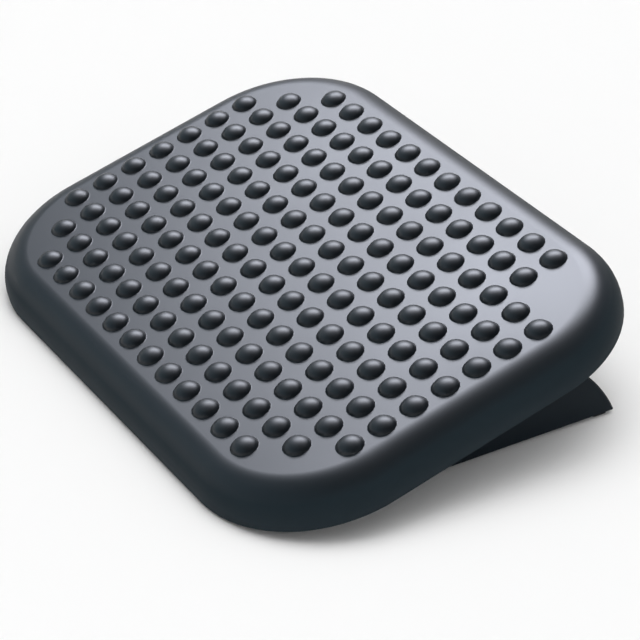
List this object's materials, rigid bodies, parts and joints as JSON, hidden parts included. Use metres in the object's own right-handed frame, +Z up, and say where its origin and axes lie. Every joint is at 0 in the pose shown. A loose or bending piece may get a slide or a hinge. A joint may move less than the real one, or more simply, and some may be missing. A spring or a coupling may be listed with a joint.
{
  "type": "adjustable footrest",
  "caption": "Tilting under-desk footrest: a rounded moulded platform with raised massage domes rocks on a cross axle over an arched base with rubber feet.",
  "frame": {"origin": "on the floor, under the middle of the whole object at rest", "axes": "+X to the sitter's right along the axle, +Y away from the sitter towards the raised edge, +Z up"},
  "size_m": [0.45, 0.3104, 0.1106],
  "materials": {
    "platform_plastic": "satin moulded slate plastic",
    "base_plastic": "satin moulded dark slate plastic",
    "bearing_plastic": "matt black moulded plastic",
    "nylon": "natural nylon",
    "rubber": "matt black rubber",
    "axle_steel": "drawn steel rod",
    "zinc_steel": "zinc plated",
    "spring_steel": "blackened spring steel"
  },
  "bodies": {
    "base": {"base_arch": "base_plastic", "tilt_axle": "axle_steel", "left_thrust_washer": "nylon", "right_thrust_washer": "nylon", "left_end_washer": "zinc_steel", "right_end_washer": "zinc_steel", "left_circlip": "spring_steel", "right_circlip": "spring_steel", "front_left_foot": "rubber", "front_right_foot": "rubber", "rear_left_foot": "rubber", "rear_right_foot": "rubber", "left_stop_pad": "rubber", "right_stop_pad": "rubber"},
    "platform": {"platform": "platform_plastic", "left_bearing_cap": "bearing_plastic", "right_bearing_cap": "bearing_plastic", "cap_screws": "zinc_steel", "left_friction_sleeve": "nylon", "right_friction_sleeve": "nylon", "left_front_bumper": "rubber", "right_front_bumper": "rubber"}
  },
  "joints": [
    {"name": "platform_tilt", "type": "hinge", "parent": "base", "child": "platform", "pos_m": [0, 0.02896, 0.06285], "axis": [1, 0, 0], "range_deg": [-31.2, 0]}
  ]
}
